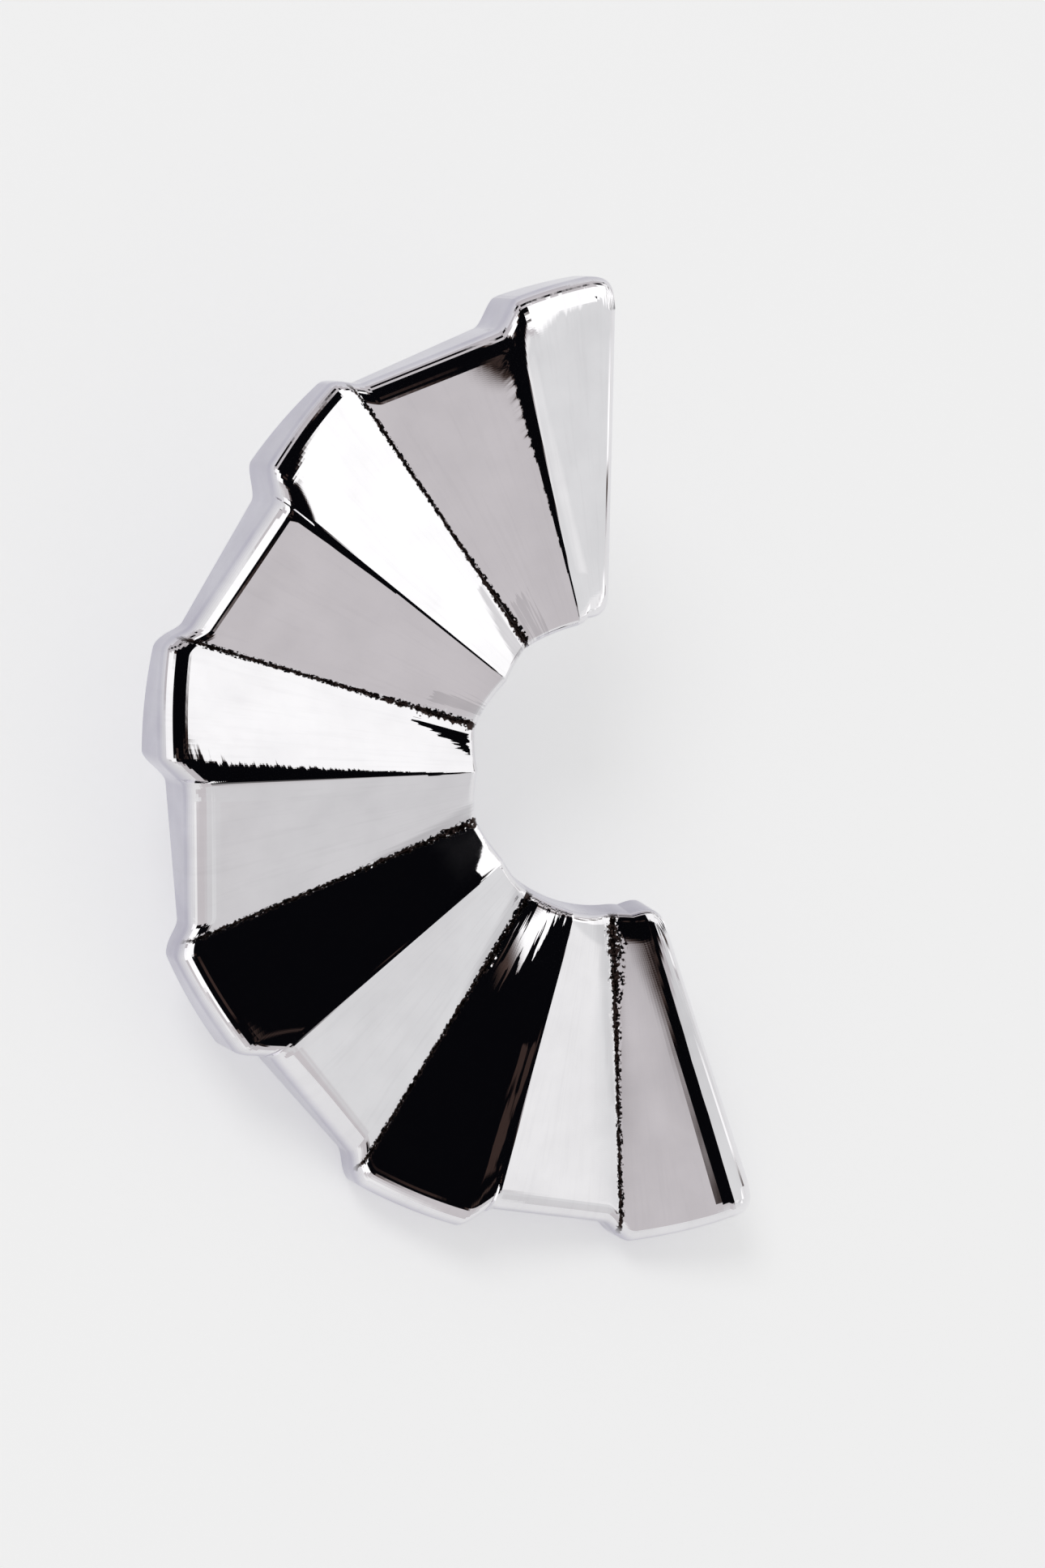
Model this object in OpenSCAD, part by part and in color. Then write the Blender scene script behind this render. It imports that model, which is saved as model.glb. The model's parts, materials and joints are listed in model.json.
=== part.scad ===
// Pleated half-fan stud earring: one cast metal plate and a straight ear post.
// The plate is drawn in its own frame: flat back in z = 0, blades facing +Z, first free edge along +Y.
// The whole stud is then laid on a table, where two rim corners and the tip of the post touch z = 0.

/* [Fan] */
// Radius at the leading corners of the long blades
fan_r = 20; // [17:0.5:24]
// Radius of the open bay at the back face
bay_r = 5.95; // [5.5:0.05:6.5]
// Number of folds, each a long and a short blade, the last one with the long blade only
folds = 6; // [4:1:6]
// Angle from one valley to the next, in degrees
fold_angle = 36.2; // [34:0.1:38]
// Angle that the long blade takes of each fold, in degrees
long_angle = 16.5; // [15.5:0.1:18]

/* [Rim] */
// Drop of a long blade's rim from its leading corner to its trailing corner
long_fall = 0.3; // [0.2:0.05:0.6]
// How much further out each long blade's rim lies than that of the long blade before it
long_grow = 0.02; // [0:0.01:0.05]
// Radius of a short blade's rim where it leaves the ridge, as a share of fan_r
short_lead = 0.94; // [0.92:0.005:0.96]
// Radius of a short blade's rim where it meets the valley, as a share of fan_r
short_trail = 0.964; // [0.95:0.005:0.975]
// Half of the angle over which the rim steps from one blade to the next, in degrees
step_half = 1.9; // [1.5:0.1:2.3]
// Angle by which the outer step lies ahead of its ridge, in degrees
step_lead = 0.9; // [0:0.1:1.4]
// Plan radius of the four corners at the two free edges
corner_r = 0.8; // [0.7:0.05:0.9]
// Distance by which the last free edge stands outside its own radial line
last_margin = 0.25; // [0.2:0.05:0.4]

/* [Relief] */
// Height of a ridge at the rim
ridge_rim_h = 3.4; // [3:0.1:4]
// Height of a ridge at the bay
ridge_bay_h = 2.2; // [1.9:0.1:2.6]
// Height of a valley at the rim
valley_rim_h = 1.85; // [1.6:0.05:2.2]
// Height of a valley at the bay
valley_bay_h = 1.2; // [1.1:0.05:1.4]
// Height that the planes of all the blades run to at the fan's centre
hub_h = 1.25; // [1:0.05:1.5]
// Softness of a ridge at the rim, measured down from where its two planes would cross
ridge_soft = 0.26; // [0.1:0.02:0.4]
// Radius of the rounding along the rim and the free edges
rim_round = 0.65; // [0.4:0.05:0.7]
// Radius of the rounding along the bay
bay_round = 0.4; // [0.3:0.05:0.5]
// Distance that the bay's wall opens from the back face to its rounding
bay_flare = 0.2; // [0.1:0.05:0.3]

/* [Ear post] */
// Place of the post behind the plate, along X from the fan's centre
post_x = -11.4; // [-12.5:0.1:-10.5]
// Place of the post behind the plate, along Y from the fan's centre
post_y = 9.4; // [8.5:0.1:11]
// Diameter of the post
post_d = 0.8; // [0.7:0.05:1]
// Length of the post from the plate's back to its tip
post_l = 10; // [9:0.5:11.5]
// Diameter of the pad that the post stands on
pad_d = 3.2; // [2.5:0.1:4]
// Thickness of the pad
pad_t = 0.5; // [0.4:0.1:0.8]
// Film of solder between the pad and the plate
solder_gap = 0.05; // [0.03:0.01:0.1]

/* [Hidden] */
post_facets = 48;
round_steps = 3;
plane_steps = 2;
start_angle = 90;
end_angle = start_angle + (folds - 1) * fold_angle + long_angle;
tip_r = post_d / 2;
pin_end = post_l - tip_r;
post_at = [post_x, post_y, 0];

// Angles within a fold at which the plate is cut into slices, from its valley to just before the next
step_at = long_angle - step_lead;
long_cuts = [0, 0.5, 1] * step_half;
long_middle = [0.25, 0.56, 0.8];
step_cuts = [-1, -0.5, 0, 0.5];
ridge_cuts = [0, 0.5, 1];
short_middle = [0.3, 0.65];
valley_cuts = [1, 0.5];
fold_cuts = concat(
    long_cuts,
    [for (t = long_middle) step_half + t * (step_at - 2 * step_half)],
    [for (t = step_cuts) step_at + t * step_half],
    [for (t = ridge_cuts) long_angle + t * step_half],
    [for (t = short_middle) long_angle + step_half + t * (fold_angle - long_angle - 2 * step_half)],
    [for (t = valley_cuts) fold_angle - t * step_half]);

// Share of the way from a to b at x, held to the two ends and eased at both
function ease(a, b, x) =
    let(t = min(max((x - a) / (b - a), 0), 1))
    t * t * (3 - 2 * t);

function mix(a, b, t) = a + (b - a) * t;

// Lower of two heights, with the crossing softened over a depth k
function soft_min(a, b, k) =
    let(h = max(k - abs(a - b), 0) / k)
    min(a, b) - h * h * k / 4;

// Radius at the angle t of the straight line from (a0, r0) to (a1, r1)
function chord_r(a0, r0, a1, r1, t) = r0 * r1 * sin(a1 - a0) / (r0 * sin(t - a0) + r1 * sin(a1 - t));

// Angle of a place in its own fold
function in_fold(angle) =
    let(from_start = max(angle - start_angle, 0), fold = min(floor(from_start / fold_angle), folds - 1))
    from_start - fold * fold_angle;

function long_rim(a, fold) = fan_r + long_grow * fold - long_fall * a / long_angle;
function short_rim(a) = chord_r(long_angle, short_lead * fan_r, fold_angle, short_trail * fan_r, a);

// Radius of the plate's rim at an angle: long and short blades in turn, eased over each step
function rim_r(angle) =
    let(
        a = in_fold(angle),
        nears_valley = a > (long_angle + fold_angle) / 2,
        from_valley = nears_valley ? a - fold_angle : a,
        fold = round((angle - from_valley - start_angle) / fold_angle),
        is_first = angle < start_angle + step_half,
        is_last = angle > end_angle - long_angle / 2,
        rise = is_first ? 1 : ease(-step_half, step_half, from_valley),
        fall = is_last || nears_valley ? 0 : ease(step_at - step_half, step_at + step_half, a),
        short_r = short_rim(a < long_angle / 2 ? fold_angle : max(a, long_angle)))
    mix(short_r, long_rim(max(from_valley, 0), fold), rise * (1 - fall));

// Height above the back of a ridge and of a valley, at a radius
function ridge_h(r) = mix(ridge_bay_h, ridge_rim_h, (r - bay_r) / (fan_r - bay_r));
function valley_h(r) = mix(valley_bay_h, valley_rim_h, (r - bay_r) / (fan_r - bay_r));

// Height of the plane that runs from height h0 on one edge to h1 on the next, w apart, at the angle a
function plane_h(h0, h1, w, a) =
    hub_h + ((h0 - hub_h) * sin(w - a) + (h1 - hub_h) * sin(a)) / sin(w);

// Height of the pleated face, before its edges are rounded
function face_h(r, angle) =
    let(
        a = in_fold(angle),
        short_angle = fold_angle - long_angle,
        is_last = angle > end_angle - long_angle / 2,
        long_side = plane_h(valley_h(r), ridge_h(r), long_angle, a),
        short_side = plane_h(ridge_h(r), valley_h(r), short_angle, a - long_angle))
    is_last ? long_side : soft_min(long_side, short_side, ridge_soft * r / fan_r);

// How far a rounding of radius q has fallen at the inset d from its edge
function fallen(q, d) = q - sqrt(q * q - pow(q - min(d, q), 2));

// Inset from the rim or the bay of the line that keeps d from a round-cornered outline, e from a free edge
function inset(d, e) =
    let(c = corner_r - min(e, corner_r))
    d < e ? corner_r - sqrt(max(pow(corner_r - d, 2) - c * c, 0)) : corner_r + d - e;

// Slices: the angle of the radial line that each lies beside, and its distance from a free edge
edge_rounds = [for (i = [0 : round_steps]) rim_round * (1 - cos(90 * i / round_steps))];
first_cut = start_angle + asin(corner_r / bay_r);
last_cut = end_angle - asin((corner_r - last_margin) / bay_r);
all_cuts = [for (f = [0 : folds - 1]) for (a = fold_cuts) start_angle + f * fold_angle + a];
inner_cuts = [for (angle = all_cuts) if (angle > first_cut && angle < last_cut) angle];
slices = concat(
    [for (e = concat(edge_rounds, [corner_r])) [start_angle, e]],
    [for (angle = inner_cuts) [angle, corner_r]],
    [for (i = [round_steps + 1 : -1 : 0]) [end_angle, i > round_steps ? corner_r : edge_rounds[i]]]);

// A place at the radius r along a slice, moved sideways from the free edge that the slice follows
function at(slice, r) =
    let(side = slice[0] == end_angle ? last_margin - slice[1] : slice[0] == start_angle ? slice[1] : 0)
    r * [cos(slice[0]), sin(slice[0])] + side * [-sin(slice[0]), cos(slice[0])];

function top_point(slice, r, q, d) =
    let(p = at(slice, r), angle = (atan2(p.y, p.x) + 360) % 360)
    [p.x, p.y, face_h(norm(p), angle) - fallen(q, min(d, slice[1] < corner_r ? slice[1] : q))];

// Points of a slice: back at the bay, up the bay's wall, over the face and down the rim's wall
function slice_points(slice) =
    let(
        rim = rim_r(slice[0]),
        bay = bay_r + bay_flare,
        e = slice[1],
        bay_rounds = [for (i = [0 : round_steps]) bay_round * (1 - cos(90 * i / round_steps))],
        face_cuts = [for (i = [1 : plane_steps]) i / (plane_steps + 1)],
        first = bay + inset(bay_round, e),
        last = rim - inset(rim_round, e))
    concat(
        [concat(at(slice, bay_r + inset(0, e)), 0)],
        [for (d = bay_rounds) top_point(slice, bay + inset(d, e), bay_round, d)],
        [for (t = face_cuts) top_point(slice, mix(first, last, t), rim_round, rim_round)],
        [for (i = [round_steps : -1 : 0])
            top_point(slice, rim - inset(edge_rounds[i], e), rim_round, edge_rounds[i])],
        [concat(at(slice, rim - inset(0, e)), 0)]);

plate_slices = [for (slice = slices) slice_points(slice)];
slice_size = len(plate_slices[0]);
plate_points = [for (s = plate_slices) for (p = s) p];
plate_faces = concat(
    [[for (i = [0 : slice_size - 1]) i]],
    [for (s = [0 : len(slices) - 2]) for (i = [0 : slice_size - 1]) for (half = [0, 1])
        let(a = s * slice_size + i, b = s * slice_size + (i + 1) % slice_size)
        half == 0 ? [a, b + slice_size, b] : [a, a + slice_size, b + slice_size]],
    [[for (i = [slice_size - 1 : -1 : 0]) (len(slices) - 1) * slice_size + i]]);

// Resting place: the table passes through two rim corners and touches the round tip of the post
last_valley = end_angle - long_angle;
foot_angles = [last_valley - fold_angle + step_at - step_half, last_valley + step_half];
feet = [for (angle = foot_angles) rim_r(angle) * [cos(angle), sin(angle), 0]];
foot_line = (feet[1] - feet[0]) / norm(feet[1] - feet[0]);
tip_centre = post_at - [0, 0, pin_end];
to_tip = (tip_centre - feet[0]) - ((tip_centre - feet[0]) * foot_line) * foot_line;
tip_share = tip_r / norm(to_tip);
table_side = cross(foot_line, to_tip / norm(to_tip));
table_up = tip_share * to_tip / norm(to_tip) + sqrt(1 - tip_share * tip_share) * table_side;
lean = acos(table_up.z);
lean_axis = cross(table_up, [0, 0, 1]) / norm(cross(table_up, [0, 0, 1]));

// A point turned about the leaning axis by the leaning angle
function leaned(p) =
    p * cos(lean) + cross(lean_axis, p) * sin(lean) + lean_axis * (lean_axis * p) * (1 - cos(lean));

leaned_points = [for (p = plate_points) leaned(p)];
function middle(i) = (min([for (p = leaned_points) p[i]]) + max([for (p = leaned_points) p[i]])) / 2;
rest_shift = [-middle(0), -middle(1), -leaned(feet[0]).z];

module laid_down() {
    translate(rest_shift)
        rotate(a = lean, v = lean_axis)
            children();
}

module fan_plate() {
    color("silver")
        laid_down()
            polyhedron(points = plate_points, faces = plate_faces);
}

module ear_post() {
    pad_top = -solder_gap;
    pad_low = pad_top - pad_t;
    color("gainsboro")
        laid_down()
            translate(post_at) {
                translate([0, 0, pad_low])
                    cylinder(d = pad_d, h = pad_t, $fn = post_facets);
                translate([0, 0, -pin_end])
                    cylinder(d = post_d, h = pin_end + pad_low + pad_t / 2, $fn = post_facets);
                translate([0, 0, -pin_end])
                    sphere(d = post_d, $fn = post_facets);
            }
}

fan_plate();
ear_post();
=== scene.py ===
"""Looks of a pleated half-fan stud earring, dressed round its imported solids.

The stud lies on its back on a pale table, leaning on its ear post, under plain studio light. Sizes are
millimetres in the fan's own frame: flat back in z = 0, blades facing +Z, first free edge along +Y. The mount
in the record says how that frame lies in the row frame. Every finished mesh is laid down there, in metres.
"""

import json
import logging
import math
from collections.abc import Mapping
from dataclasses import dataclass, fields
from enum import Enum
from typing import NamedTuple

import bmesh
import bpy
from mathutils import Matrix, Vector


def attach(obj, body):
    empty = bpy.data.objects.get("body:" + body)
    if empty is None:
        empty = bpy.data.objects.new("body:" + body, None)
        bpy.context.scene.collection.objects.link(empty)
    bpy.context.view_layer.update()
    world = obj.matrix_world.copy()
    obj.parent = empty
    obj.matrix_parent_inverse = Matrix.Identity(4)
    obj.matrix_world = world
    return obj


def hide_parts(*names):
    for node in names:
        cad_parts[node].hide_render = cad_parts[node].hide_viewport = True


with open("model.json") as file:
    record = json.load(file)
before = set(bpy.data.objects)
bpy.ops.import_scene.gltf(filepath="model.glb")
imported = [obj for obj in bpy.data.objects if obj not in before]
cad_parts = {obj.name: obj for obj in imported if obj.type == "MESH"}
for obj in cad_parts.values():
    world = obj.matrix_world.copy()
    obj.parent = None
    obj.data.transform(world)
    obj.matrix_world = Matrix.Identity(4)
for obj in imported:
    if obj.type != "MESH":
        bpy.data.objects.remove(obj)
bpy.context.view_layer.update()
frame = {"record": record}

log = logging.getLogger("fan_stud")

MM = 0.001
PHOTO_HEIGHT_PX = 1935
SEED_STEP = 37.3
PATCH_EDGES = (0.35, 0.65)
QUARTER_TURN = math.pi / 2
NEAR_TURN = 1.5
TINY = 0.001


class Value:
    """A number or colour that a node tree works out, with arithmetic that adds the nodes it needs."""

    def __init__(self, graph: "Graph", socket: bpy.types.NodeSocket) -> None:
        """Wraps a node's output.

        Args:
            graph: The tree that the output is in.
            socket: The output itself.
        """
        self.graph = graph
        self.socket = socket

    def math(self, operation: str, *others: "Number", first: "Number | None" = None) -> "Value":
        """Adds a Math node.

        Args:
            operation: The node's operation.
            others: What follows this value in the operation.
            first: What comes before this value, for a reflected operation.

        Returns:
            The result.
        """
        terms = [self, *others] if first is None else [first, self]
        node = self.graph.node("ShaderNodeMath", {"operation": operation}, dict(enumerate(terms)))
        return Value(self.graph, node.outputs[0])

    def __add__(self, other: "Number") -> "Value":
        """This value plus another."""
        return self.math("ADD", other)

    def __radd__(self, other: "Number") -> "Value":
        """Another number plus this value."""
        return self.math("ADD", first=other)

    def __sub__(self, other: "Number") -> "Value":
        """This value less another."""
        return self.math("SUBTRACT", other)

    def __rsub__(self, other: "Number") -> "Value":
        """Another number less this value."""
        return self.math("SUBTRACT", first=other)

    def __mul__(self, other: "Number") -> "Value":
        """This value times another."""
        return self.math("MULTIPLY", other)

    def __rmul__(self, other: "Number") -> "Value":
        """Another number times this value."""
        return self.math("MULTIPLY", first=other)

    def __truediv__(self, other: "Number") -> "Value":
        """This value over another."""
        return self.math("DIVIDE", other)

    def __rtruediv__(self, other: "Number") -> "Value":
        """Another number over this value."""
        return self.math("DIVIDE", first=other)

    def __pow__(self, power: "Number") -> "Value":
        """This value to a power."""
        return self.math("POWER", power)

    def __neg__(self) -> "Value":
        """This value with its sign turned."""
        return self.math("MULTIPLY", -1.0)

    def __gt__(self, other: "Number") -> "Value":
        """1 where this value is the greater one, else 0."""
        return self.math("GREATER_THAN", other)

    def __lt__(self, other: "Number") -> "Value":
        """1 where this value is the lesser one, else 0."""
        return self.math("LESS_THAN", other)

    def least(self, other: "Number") -> "Value":
        """The lesser of this value and another."""
        return self.math("MINIMUM", other)

    def most(self, other: "Number") -> "Value":
        """The greater of this value and another."""
        return self.math("MAXIMUM", other)

    def root(self) -> "Value":
        """The square root, with rounding errors below zero taken as zero."""
        return self.most(0.0).math("SQRT")

    def sin(self) -> "Value":
        """The sine."""
        return self.math("SINE")

    def cos(self) -> "Value":
        """The cosine."""
        return self.math("COSINE")

    def size(self) -> "Value":
        """The value without its sign."""
        return self.math("ABSOLUTE")

    def ease(self, low: "Number", high: "Number") -> "Value":
        """How far this value is from low to high, held to 0 and 1 and eased at both ends."""
        return self.graph.spread(self, low, high, "SMOOTHSTEP")

    def ramp(self, low: "Number", high: "Number") -> "Value":
        """How far this value is from low to high, held to 0 and 1."""
        return self.graph.spread(self, low, high, "LINEAR")

    def mix(self, low: "Number", high: "Number") -> "Value":
        """Low where this value is 0, high where it is 1, and the straight line between."""
        return low + (high - low) * self


Number = Value | float


class Graph:
    """A node tree, with one way to add any node and write maths as expressions."""

    def __init__(self, tree: bpy.types.NodeTree) -> None:
        """Wraps a tree.

        Args:
            tree: The tree to build in.
        """
        self.tree = tree

    def node(
        self,
        kind: str,
        settings: Mapping[str, object] | None = None,
        inputs: Mapping[int | str, object] | None = None,
    ) -> bpy.types.Node:
        """Adds a node.

        Args:
            kind: The node's type name.
            settings: What to set on the node first, such as an operation.
            inputs: Values, sockets or results for its inputs, by name or number.

        Returns:
            The node.
        """
        node = self.tree.nodes.new(kind)
        for name, value in (settings or {}).items():
            setattr(node, name, value)
        for key, value in (inputs or {}).items():
            self.feed(node.inputs[key], value)
        return node

    def feed(self, socket: bpy.types.NodeSocket, value: object) -> None:
        """Links or sets an input.

        Args:
            socket: The input.
            value: A result, a socket, or a plain value.
        """
        if isinstance(value, Value):
            self.tree.links.new(value.socket, socket)
        elif isinstance(value, bpy.types.NodeSocket):
            self.tree.links.new(value, socket)
        else:
            socket.default_value = value

    def value(self, node: bpy.types.Node, output: int | str = 0) -> Value:
        """A node's output, ready for arithmetic."""
        return Value(self, node.outputs[output])

    def spread(self, value: Value, low: Number, high: Number, interpolation: str) -> Value:
        """Adds a Map Range node that takes low to 0 and high to 1."""
        settings = {"interpolation_type": interpolation, "clamp": True}
        return self.value(self.node("ShaderNodeMapRange", settings, {0: value, 1: low, 2: high}))

    def noise(self, vector: object, scale: Number, detail: float = 2.0, seed: Number = 0.0) -> Value:
        """Adds a noise texture.

        Args:
            vector: Where it is read.
            scale: How many of its waves fit in one unit.
            detail: How many finer layers it has.
            seed: Picks the pattern.

        Returns:
            The noise, from 0 to 1 and about 0.5 on average.
        """
        place = self.vector_math("ADD", vector, self.vector(seed * SEED_STEP, 0.0, seed * -SEED_STEP))
        node = self.node("ShaderNodeTexNoise", None, {"Vector": place, "Scale": scale, "Detail": detail})
        return self.value(node, 0)

    def swing(self, vector: object, scale: Number, detail: float, seed: Number) -> Value:
        """Noise about 0, from -0.5 to 0.5."""
        return self.noise(vector, scale, detail, seed) - 0.5

    def patches(self, vector: object, scale: Number, detail: float, seed: Number) -> Value:
        """Noise drawn apart into patches of 0 and of 1, with soft edges."""
        return self.noise(vector, scale, detail, seed).ramp(*PATCH_EDGES)

    def vector(self, x: Number, y: Number, z: Number) -> Value:
        """Puts three numbers together as a vector."""
        return self.value(self.node("ShaderNodeCombineXYZ", None, {0: x, 1: y, 2: z}))

    def vector_math(self, operation: str, *terms: object, output: int | str = 0) -> Value:
        """Adds a Vector Math node."""
        node = self.node("ShaderNodeVectorMath", {"operation": operation}, dict(enumerate(terms)))
        return self.value(node, output)

    def parts(self, vector: object) -> tuple[Value, Value, Value]:
        """The three numbers of a vector."""
        node = self.node("ShaderNodeSeparateXYZ", None, {0: vector})
        return self.value(node, 0), self.value(node, 1), self.value(node, 2)

    def colours(self, share: Number, low: object, high: object) -> Value:
        """Mixes two colours: low where the share is 0, high where it is 1."""
        node = self.node("ShaderNodeMix", {"data_type": "RGBA"}, {0: share, 6: low, 7: high})
        return self.value(node, 2)


class Pressed(float, Enum):
    """The layers of noise in the plate's shape, by what each adds to the plate's seed."""

    WAVES = 0.0
    RIPPLES = 1.0
    PATCHES = 3.0
    LUMPS = 5.0


class Polished(float, Enum):
    """The layers of noise in the plate's finish, by what each adds to the finish's seed."""

    LUMPS = 0.0
    BEADS = 1.0
    CLOUDS = 2.0
    HAIRS = 4.0
    STROKES = 5.0
    RIM_HAIRS = 6.0
    CROSS_BEADS = 7.0
    WALLS = 8.0


@dataclass(frozen=True)
class LaidDown:
    """How the fan's own frame lies in the row frame, read from the post's mount.

    Attributes:
        lay: Takes a point in the fan's frame, in millimetres, to the row frame, in metres.
    """

    lay: Matrix

    @classmethod
    def from_mount(cls, mount: Mapping[str, object], middle: Vector) -> "LaidDown":
        """Works out the frame.

        Args:
            mount: The record's row for the post: the middle of its pin and the way that the pin points.
            middle: The middle of the pin in the fan's frame, in millimetres.

        Returns:
            The frame of a fan that leans over a level axis until its post points along the mount's axis.
        """
        face = -Vector(mount["axis"])
        lean = math.acos(face.z)
        turn = Matrix.Rotation(lean, 4, Vector((0.0, 0.0, 1.0)).cross(face).normalized())
        scaled = turn @ Matrix.Scale(MM, 4)
        shift = Vector(mount["pos_m"]) - scaled @ middle
        return cls(Matrix.Translation(shift) @ scaled)

    def unlaid(self, graph: Graph) -> tuple[Value, Value, Value]:
        """Adds the nodes that take a shaded point of a finished mesh back to the fan's frame.

        Args:
            graph: The finish's tree.

        Returns:
            The point's x, y and z in the fan's frame, in millimetres.
        """
        place, turn, scale = self.lay.inverted().decompose()
        point = graph.node("ShaderNodeTexCoord").outputs["Object"]
        moved = {"Vector": point, "Location": place, "Rotation": turn.to_euler(), "Scale": scale}
        return graph.parts(graph.value(graph.node("ShaderNodeMapping", {"vector_type": "POINT"}, moved)))

    def facing(self, graph: Graph) -> tuple[Value, Value, Value]:
        """Adds the nodes that turn the sky's direction into the fan's frame.

        Args:
            graph: The sky's tree.

        Returns:
            The direction's x, y and z in the fan's frame.
        """
        turn = self.lay.inverted().to_quaternion().to_euler()
        way = graph.node("ShaderNodeTexCoord").outputs["Generated"]
        turned = graph.node("ShaderNodeMapping", {"vector_type": "VECTOR"}, {"Vector": way, "Rotation": turn})
        return graph.parts(graph.value(turned))


class Column(NamedTuple):
    """A line across the blank, from the bay to the rim.

    Attributes:
        turn: Angle from the first free edge to the radial line that it follows, in degrees.
        shift: Distance that it lies beside that line, in the direction of growing turn.
        gap: Distance from the nearest free edge, held to the corners' reach.
        crease: How wide the nearest ridge is polished off, as a share of the widest.
        residue: How much casting residue the nearest valley holds, from 0 to 1.
    """

    turn: float
    shift: float
    gap: float
    crease: float
    residue: float


class Row(NamedTuple):
    """A line along the blank, from one free edge to the other.

    Attributes:
        reach: 0 at the bay, 1 at the rim, and the share of the face between.
        bay_in: Inset from the bay's outline at which the face starts.
        rim_in: Inset from the rim's outline at which the face ends.
        level: 0 on the back, 1 on the face, and the share of the wall's height between.
    """

    reach: float
    bay_in: float
    rim_in: float
    level: float


@dataclass
class FanPlate:
    """The pleated plate: long and short blades in turn round an open bay, pressed from a flat blank.

    Lengths are in millimetres and angles in degrees. Those of the part's source have its values. A scale is
    how many waves of a noise fit in a millimetre.

    Attributes:
        folds: Number of long blades, each with a short one after it but for the last.
        ridge_width: How far a ridge is polished off to each side at the rim, where its crease is 1.
        ridge_sharp_share: Share of the way out that stays sharp, and share of the width that is left there.
        ridge_flare: How much wider a ridge is polished off at the rim, from ridge_flare_from outwards.
        wedge_width: Width of the metal that fills a valley's short side at the bay, to wedge_reach outwards.
        last_shoulder: How far in the last free edge is rolled off, by last_shoulder_drop.
        corner_ease: How far from a blade's outer corner its ridge and rim are eased, by corner_ease_drop.
        rim_rounding_from: Share of the way out from which the outline has the rim's rounding.
        grit_reach: Radius up to which casting residue gets wider, as a share of the fan's.
        grit_floor: What the lumps' noise is at a level of 0.
        creases: How wide each ridge is polished off, from the first one on.
        residues: How much casting residue each valley holds, from the first free edge on.
    """

    name: str = "fan_plate_polished"
    fan_radius: float = 20.0
    bay_radius: float = 5.95
    folds: int = 6
    fold_angle: float = 36.2
    long_angle: float = 16.5
    long_fall: float = 0.3
    long_grow: float = 0.02
    short_lead: float = 0.94
    short_trail: float = 0.964
    step_half_angle: float = 1.9
    step_lead_angle: float = 0.9
    corner_reach: float = 1.25
    corner_power: float = 3.2
    last_margin: float = 0.25
    ridge_rim_height: float = 3.4
    ridge_bay_height: float = 2.2
    valley_rim_height: float = 1.85
    valley_bay_height: float = 1.2
    hub_height: float = 1.25
    ridge_width: float = 0.6
    ridge_sharp_share: float = 0.1
    ridge_flare_from: float = 0.78
    ridge_flare: float = 0.25
    valley_width: float = 0.1
    wedge_width: float = 0.35
    wedge_reach: float = 0.38
    rim_rounding: float = 1.0
    end_rounding: float = 0.5
    end_shoulder: float = 1.0
    end_shoulder_drop: float = 0.07
    last_shoulder: float = 1.8
    last_shoulder_drop: float = 0.38
    bay_rounding: float = 0.4
    bay_shoulder: float = 1.3
    bay_shoulder_drop: float = 0.1
    corner_ease: float = 2.4
    corner_ease_drop: float = 0.2
    bay_flare: float = 0.2
    rim_rounding_from: float = 0.15
    polish_wave: float = 0.012
    polish_wave_scale: float = 0.2
    polish_ripple: float = 0.0012
    polish_ripple_scale: float = 0.9
    grit_height: float = 0.03
    grit_width: float = 0.1
    grit_reach: float = 0.6
    grit_scale: float = 5.0
    grit_floor: float = 0.42
    patch_scale: float = 1.1
    seed: float = 7.0
    creases: tuple[float, ...] = (1.0, 0.25, 1.7, 0.3, 0.4)
    residues: tuple[float, ...] = (0.0, 0.5, 0.7, 0.6, 0.6, 1.0)
    sharp_angle: float = 25.0
    face_rows: int = 128
    round_rows: int = 15
    columns_per_fold: tuple[int, int, int, int, int] = (9, 20, 24, 22, 9)
    edge_columns: int = 16
    end_columns: int = 14

    @property
    def span(self) -> float:
        """Angle from the first free edge to the last one."""
        return (self.folds - 1) * self.fold_angle + self.long_angle

    def numbers(self) -> dict[str, float]:
        """Works out what the press needs to know of the plate.

        Returns:
            Every size by its name, lengths in millimetres and angles in radians, and the number of folds.
        """
        kept = {item.name: getattr(self, item.name) for item in fields(self)}
        sizes = {key: value for key, value in kept.items() if isinstance(value, float)}
        sizes |= {"folds": float(self.folds), "span_angle": self.span}
        return {key: math.radians(value) if key.endswith("_angle") else value for key, value in sizes.items()}

    @property
    def step_angle(self) -> float:
        """Angle from a valley to the middle of the next step down in the rim."""
        return self.long_angle - self.step_lead_angle

    def columns(self) -> list[Column]:
        """The blank's lines from the bay to the rim, close together at the steps and the ridges.

        Returns:
            The lines in order, from the first free edge to the last.
        """
        marks = [
            0.0,
            self.step_half_angle,
            self.step_angle - self.step_half_angle,
            self.long_angle + self.step_half_angle,
            self.fold_angle - self.step_half_angle,
            self.fold_angle,
        ]
        turns = [
            fold * self.fold_angle + low + (high - low) * i / count
            for fold in range(self.folds)
            for low, high, count in zip(marks, marks[1:], self.columns_per_fold)
            for i in range(count)
        ]
        clear = math.degrees(math.asin(self.corner_reach / self.bay_radius)) + self.step_half_angle
        inner = [self._column(turn) for turn in turns if clear < turn < self.span - clear]
        gaps = [
            self.corner_reach * (1.0 - math.cos(QUARTER_TURN * i / self.edge_columns))
            for i in range(self.edge_columns + 1)
        ]
        first = [Column(0.0, gap, gap, self.creases[0], 0.0) for gap in gaps]
        last = [
            Column(self.span, self.last_margin - gap, gap, self.creases[-1], self.residues[-1])
            for gap in reversed(gaps)
        ]
        return first + self._between(first[-1], inner[0]) + inner + self._between(inner[-1], last[0]) + last

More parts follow.
